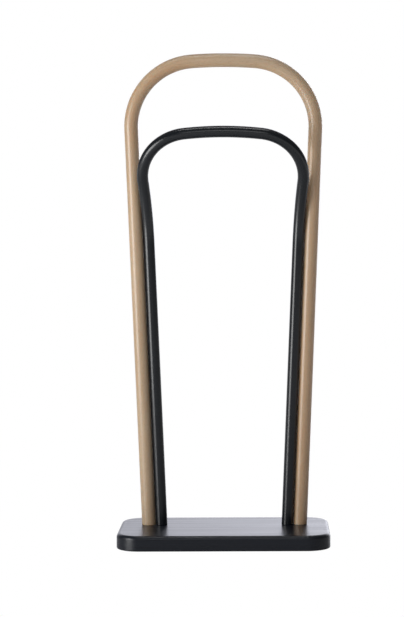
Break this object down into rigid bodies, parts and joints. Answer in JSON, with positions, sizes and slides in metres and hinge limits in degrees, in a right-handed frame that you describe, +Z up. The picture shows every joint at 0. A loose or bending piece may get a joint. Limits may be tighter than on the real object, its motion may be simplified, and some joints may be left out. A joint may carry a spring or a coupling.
{
  "type": "valet stand",
  "caption": "Free-standing valet stand for clothes: a tall natural bentwood hoop and a lower black hoop whose top bends forward, both rising from a rounded black base board.",
  "frame": {"origin": "on the floor under the middle of the base board", "axes": "+Z up, -Y towards the front that the lower hoop bends to, +X to the right seen from the front"},
  "size_m": [0.45, 0.25, 1.0519],
  "materials": {
    "natural_beech": "satin clear oil",
    "black_stained_beech": "satin stain",
    "black_lacquer": "satin lacquer",
    "insert_brass": "turned",
    "zinc_steel": "zinc plated",
    "glide_plastic": "moulded",
    "felt": "pressed felt"
  },
  "bodies": {
    "root": {"base_board": "black_lacquer", "outer_hoop": "natural_beech", "inner_hoop": "black_stained_beech", "outer_left_insert": "insert_brass", "outer_left_washer": "zinc_steel", "outer_left_bolt": "zinc_steel", "outer_right_insert": "insert_brass", "outer_right_washer": "zinc_steel", "outer_right_bolt": "zinc_steel", "inner_left_insert": "insert_brass", "inner_left_washer": "zinc_steel", "inner_left_bolt": "zinc_steel", "inner_right_insert": "insert_brass", "inner_right_washer": "zinc_steel", "inner_right_bolt": "zinc_steel", "front_left_glide": "glide_plastic", "front_left_glide_screw": "zinc_steel", "front_left_felt": "felt", "front_right_glide": "glide_plastic", "front_right_glide_screw": "zinc_steel", "front_right_felt": "felt", "rear_left_glide": "glide_plastic", "rear_left_glide_screw": "zinc_steel", "rear_left_felt": "felt", "rear_right_glide": "glide_plastic", "rear_right_glide_screw": "zinc_steel", "rear_right_felt": "felt"}
  },
  "joints": []
}
